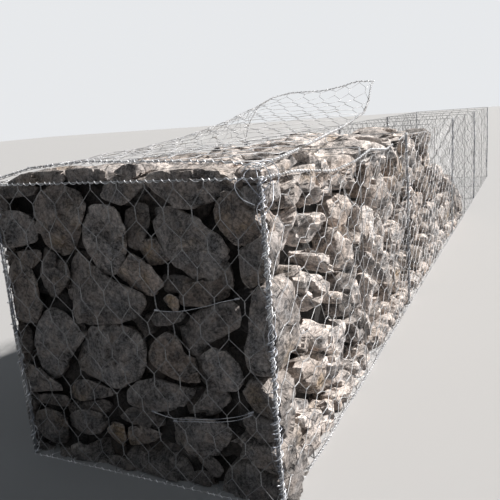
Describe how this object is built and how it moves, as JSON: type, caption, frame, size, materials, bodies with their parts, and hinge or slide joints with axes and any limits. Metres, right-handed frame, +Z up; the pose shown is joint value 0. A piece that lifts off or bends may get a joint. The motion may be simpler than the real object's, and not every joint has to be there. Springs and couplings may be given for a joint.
{
  "type": "gabion wall",
  "caption": "Row of wire-netting gabion baskets laced end to end, packed with broken stone at the near end and still open and empty at the far end.",
  "frame": {"origin": "bottom centre of everything that stands, on the ground the baskets rest on", "axes": "+X along the row from the packed end to the empty end, -Y out of the long front face, +Z up"},
  "size_m": [7.9994, 1.0392, 1.2853],
  "materials": {
    "netting_wire": "weathered zinc-coated wire netting",
    "lacing_wire": "zinc-coated lacing wire, twisted",
    "broken_stone": "rough broken quarry stone, grey to brown"
  },
  "bodies": {
    "root": {"basket_1_back": "netting_wire", "basket_1_base": "netting_wire", "basket_1_diaphragm": "netting_wire", "basket_1_far_end": "netting_wire", "basket_1_front": "netting_wire", "basket_1_lid": "netting_wire", "basket_1_near_end": "netting_wire", "basket_2_back": "netting_wire", "basket_2_base": "netting_wire", "basket_2_diaphragm": "netting_wire", "basket_2_far_end": "netting_wire", "basket_2_front": "netting_wire", "basket_2_lid": "netting_wire", "basket_2_near_end": "netting_wire", "basket_3_back": "netting_wire", "basket_3_base": "netting_wire", "basket_3_diaphragm": "netting_wire", "basket_3_far_end": "netting_wire", "basket_3_front": "netting_wire", "basket_3_lid": "netting_wire", "basket_3_near_end": "netting_wire", "basket_4_back": "netting_wire", "basket_4_base": "netting_wire", "basket_4_diaphragm": "netting_wire", "basket_4_far_end": "netting_wire", "basket_4_front": "netting_wire", "basket_4_lid": "netting_wire", "basket_4_near_end": "netting_wire", "laced_edge_1_back": "lacing_wire", "laced_edge_1_front": "lacing_wire", "laced_edge_2_back": "lacing_wire", "laced_edge_2_front": "lacing_wire", "laced_edge_3_back": "lacing_wire", "laced_edge_3_front": "lacing_wire", "laced_edge_4_back": "lacing_wire", "laced_edge_4_front": "lacing_wire", "laced_edge_5_back": "lacing_wire", "laced_edge_5_front": "lacing_wire", "stone_fill_1": "broken_stone", "stone_fill_2": "broken_stone", "stone_fill_3": "broken_stone", "stone_fill_4": "broken_stone", "stone_fill_5": "broken_stone"}
  },
  "joints": []
}
